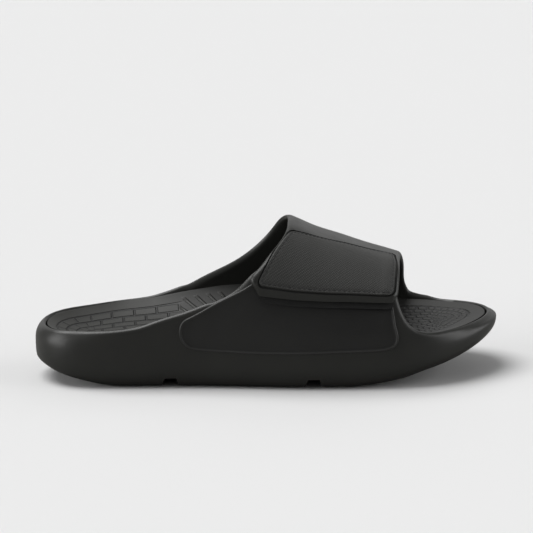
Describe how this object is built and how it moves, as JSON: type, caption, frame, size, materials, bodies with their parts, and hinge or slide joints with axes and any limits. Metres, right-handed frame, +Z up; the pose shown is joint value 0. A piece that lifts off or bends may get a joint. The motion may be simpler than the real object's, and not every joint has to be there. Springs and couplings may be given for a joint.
{
  "type": "sport slide sandal",
  "caption": "Right slide sandal in moulded foam: one-piece sole and upper, a strap that wraps over the instep, set-in strap panel and cupped footbed.",
  "frame": {"origin": "on the floor under the middle of the shoe's length and width", "axes": "+X towards the toe, +Y towards the medial (big toe) side, +Z up"},
  "size_m": [0.29, 0.1057, 0.0984],
  "materials": {
    "charcoal_foam": "matt closed-cell foam, very dark charcoal",
    "footbed_foam": "matt closed-cell foam, warm charcoal, embossed",
    "panel_foam": "matt foam, very dark charcoal",
    "fastener_textile": "hook-and-loop textile",
    "strap_textile": "fine diamond weave, stitched round its edge"
  },
  "bodies": {
    "root": {"sole_and_upper": "charcoal_foam", "footbed": "footbed_foam", "side_panel": "panel_foam", "fastening_pad": "fastener_textile", "strap_inset": "strap_textile"}
  },
  "joints": []
}
